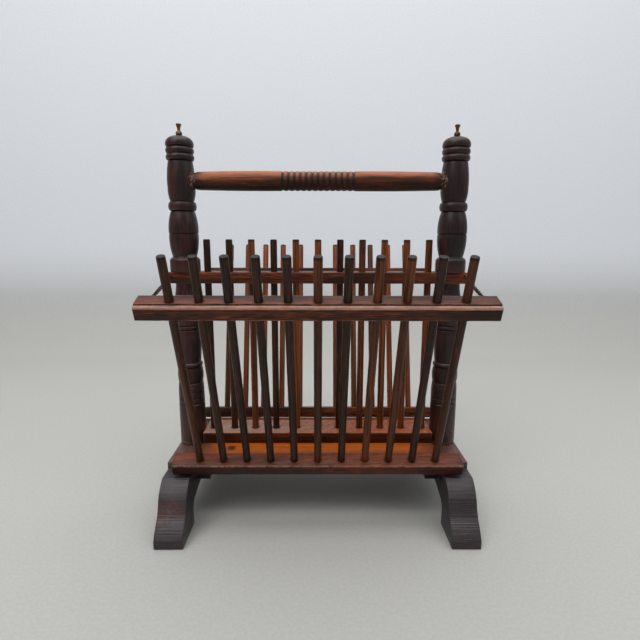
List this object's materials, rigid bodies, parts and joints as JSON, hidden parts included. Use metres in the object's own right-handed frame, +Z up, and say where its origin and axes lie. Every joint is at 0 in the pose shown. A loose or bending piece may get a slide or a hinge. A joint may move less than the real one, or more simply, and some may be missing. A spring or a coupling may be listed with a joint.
{
  "type": "folding spindle magazine rack",
  "caption": "Turned-post wooden rack with a beaded carrying handle and two spindle panels hinged to the base and held open by short chains.",
  "frame": {"origin": "on the ground at the middle of the rack's footprint", "axes": "+X to the right along the handle, +Y from front to back, +Z up; rest pose is the rack open on its chains"},
  "size_m": [0.339, 0.3158, 0.4353],
  "materials": {
    "dark_wood": "worn satin stain",
    "foot_wood": "worn satin stain",
    "handle_wood": "worn satin",
    "board_wood": "matte worn",
    "centre_board_wood": "matte worn",
    "rail_wood": "satin stain",
    "front_dowel_wood": "satin stain",
    "centre_dowel_wood": "satin stain",
    "back_dowel_wood": "satin stain",
    "finial_brass": "dull, darkened",
    "hinge_steel": "dull",
    "chain_steel": "bronzed, dull",
    "eye_steel": "bronzed, dull"
  },
  "bodies": {
    "frame": {"left_foot": "foot_wood", "right_foot": "foot_wood", "base_board": "board_wood", "base_cleats": "board_wood", "centre_board": "centre_board_wood", "left_lower_post": "dark_wood", "right_lower_post": "dark_wood", "centre_rail": "rail_wood", "left_upper_post": "dark_wood", "right_upper_post": "dark_wood", "left_finial": "finial_brass", "right_finial": "finial_brass", "handle": "handle_wood", "centre_dowel_01": "centre_dowel_wood", "centre_dowel_02": "centre_dowel_wood", "centre_dowel_03": "centre_dowel_wood", "centre_dowel_04": "centre_dowel_wood", "centre_dowel_05": "centre_dowel_wood", "centre_dowel_06": "centre_dowel_wood", "centre_dowel_07": "centre_dowel_wood", "centre_dowel_08": "centre_dowel_wood", "centre_dowel_09": "centre_dowel_wood", "centre_dowel_10": "centre_dowel_wood", "centre_dowel_11": "centre_dowel_wood", "fixed_hinge_leaves": "hinge_steel", "centre_rail_eyes": "eye_steel"},
    "front_panel": {"front_bottom_bar": "rail_wood", "front_top_rail": "rail_wood", "front_dowel_01": "front_dowel_wood", "front_dowel_02": "front_dowel_wood", "front_dowel_03": "front_dowel_wood", "front_dowel_04": "front_dowel_wood", "front_dowel_05": "front_dowel_wood", "front_dowel_06": "front_dowel_wood", "front_dowel_07": "front_dowel_wood", "front_dowel_08": "front_dowel_wood", "front_dowel_09": "front_dowel_wood", "front_dowel_10": "front_dowel_wood", "front_dowel_11": "front_dowel_wood", "front_hinge_leaves": "hinge_steel", "front_rail_eyes": "eye_steel"},
    "back_panel": {"back_bottom_bar": "rail_wood", "back_top_rail": "rail_wood", "back_dowel_01": "back_dowel_wood", "back_dowel_02": "back_dowel_wood", "back_dowel_03": "back_dowel_wood", "back_dowel_04": "back_dowel_wood", "back_dowel_05": "back_dowel_wood", "back_dowel_06": "back_dowel_wood", "back_dowel_07": "back_dowel_wood", "back_dowel_08": "back_dowel_wood", "back_dowel_09": "back_dowel_wood", "back_dowel_10": "back_dowel_wood", "back_dowel_11": "back_dowel_wood", "back_hinge_leaves": "hinge_steel", "back_rail_eyes": "eye_steel"},
    "front_upper_chains": {"front_upper_chains": "chain_steel"},
    "front_lower_chains": {"front_lower_chains": "chain_steel"},
    "back_upper_chains": {"back_upper_chains": "chain_steel"},
    "back_lower_chains": {"back_lower_chains": "chain_steel"}
  },
  "joints": [
    {"name": "front_fold", "type": "hinge", "parent": "frame", "child": "front_panel", "pos_m": [0, -0.04962, 0.0684], "axis": [-1, 0, 0], "range_deg": [0, 31], "deforming": ["front_upper_chains", "front_lower_chains"]},
    {"name": "back_fold", "type": "hinge", "parent": "frame", "child": "back_panel", "pos_m": [0, 0.07078, 0.0684], "axis": [1, 0, 0], "range_deg": [0, 30], "deforming": ["back_upper_chains", "back_lower_chains"]},
    {"name": "front_upper_chain_swing", "type": "hinge", "parent": "frame", "child": "front_upper_chains", "pos_m": [0, -0.01252, 0.2703], "axis": [1, 0, 0], "range_deg": [0, 80.42]},
    {"name": "front_lower_chain_swing", "type": "hinge", "parent": "front_panel", "child": "front_lower_chains", "pos_m": [0, -0.12421, 0.25935], "axis": [-1, 0, 0], "range_deg": [0, 62.61]},
    {"name": "back_upper_chain_swing", "type": "hinge", "parent": "frame", "child": "back_upper_chains", "pos_m": [0, 0.02048, 0.2703], "axis": [-1, 0, 0], "range_deg": [0, 83.18]},
    {"name": "back_lower_chain_swing", "type": "hinge", "parent": "back_panel", "child": "back_lower_chains", "pos_m": [0, 0.12913, 0.26493], "axis": [1, 0, 0], "range_deg": [0, 60.85]}
  ],
  "couplings": [
    {"joint": "front_upper_chain_swing", "follows": "front_fold", "ratio": 2.5936},
    {"joint": "front_lower_chain_swing", "follows": "front_fold", "ratio": 2.0193},
    {"joint": "back_upper_chain_swing", "follows": "back_fold", "ratio": 2.7723},
    {"joint": "back_lower_chain_swing", "follows": "back_fold", "ratio": 2.0277}
  ]
}
